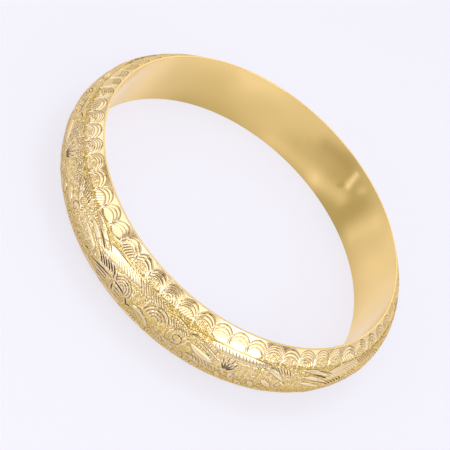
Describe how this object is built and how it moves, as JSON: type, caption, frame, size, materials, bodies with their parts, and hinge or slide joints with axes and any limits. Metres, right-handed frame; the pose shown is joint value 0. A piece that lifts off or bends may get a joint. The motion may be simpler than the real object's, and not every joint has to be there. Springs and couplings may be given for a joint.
{
  "type": "bangle bracelet",
  "caption": "Closed slip-on bangle of D section, hollow, with a domed outer shell soldered along both rims to a flat inner liner.",
  "frame": {"origin": "on the ring's axis, in the plane of the lower rim that the bangle lies on", "axes": "+Z along the ring's axis, through the opening that the hand goes into; the shell's strip meets at +Y and the liner's at -Y"},
  "size_m": [0.0706, 0.0706, 0.013],
  "materials": {
    "engraved_gold": "bright-cut engraving on a matted ground",
    "polished_gold": "polished, softly waved",
    "gold_solder": "polished solder line"
  },
  "bodies": {
    "root": {"outer_shell": "engraved_gold", "inner_liner": "polished_gold", "top_rim_solder": "gold_solder", "bottom_rim_solder": "gold_solder", "shell_joint_solder": "gold_solder", "liner_joint_solder": "gold_solder"}
  },
  "joints": []
}
